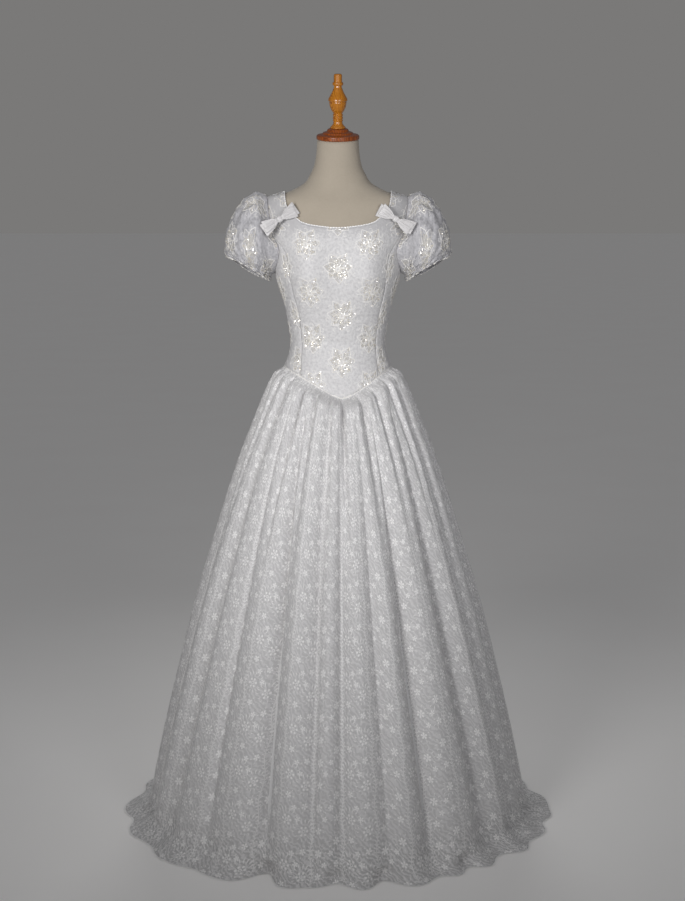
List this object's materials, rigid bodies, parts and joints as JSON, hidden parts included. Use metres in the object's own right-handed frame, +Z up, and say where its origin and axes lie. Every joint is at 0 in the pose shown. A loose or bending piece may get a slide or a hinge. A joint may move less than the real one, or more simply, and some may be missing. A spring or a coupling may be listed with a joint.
{
  "type": "wedding dress on a dress form",
  "caption": "Floor-length wedding dress with puff sleeves, ribbon bows, a pointed waist and a gathered lace skirt, standing on a limbless dress form.",
  "frame": {"origin": "centre of the underside of the stand's round foot, on the floor", "axes": "+Z up along the stand's pole, the front of the dress faces -Y, +X is the wearer's left side"},
  "size_m": [1.072, 1.0811, 1.805],
  "materials": {
    "bodice_lace": "white beaded lace over satin",
    "zip_tape": "white tape of a concealed zip",
    "sleeve_lace": "white beaded lace over satin",
    "skirt_lace": "white all-over floral lace",
    "lining_satin": "plain white satin",
    "ribbon_satin": "bright white satin ribbon",
    "form_linen": "smooth warm grey-beige linen",
    "red_wood": "red-brown varnished wood",
    "honey_wood": "honey varnished turned wood",
    "pole_metal": "dark painted steel"
  },
  "bodies": {
    "root": {"bodice_centre_front": "bodice_lace", "bodice_side_front_left": "bodice_lace", "bodice_side_front_right": "bodice_lace", "bodice_side_back_left": "bodice_lace", "bodice_side_back_right": "bodice_lace", "bodice_centre_back_left": "bodice_lace", "bodice_centre_back_right": "bodice_lace", "back_zip": "zip_tape", "sleeve_left": "sleeve_lace", "sleeve_right": "sleeve_lace", "skirt_lace_front": "skirt_lace", "skirt_lace_back": "skirt_lace", "skirt_lining_front": "lining_satin", "skirt_lining_back": "lining_satin", "bow_left": "ribbon_satin", "bow_right": "ribbon_satin", "bow_knot_left": "ribbon_satin", "bow_knot_right": "ribbon_satin", "form_torso": "form_linen", "neck_cap": "red_wood", "finial": "honey_wood", "stand_pole": "pole_metal", "stand_base": "red_wood"}
  },
  "joints": []
}
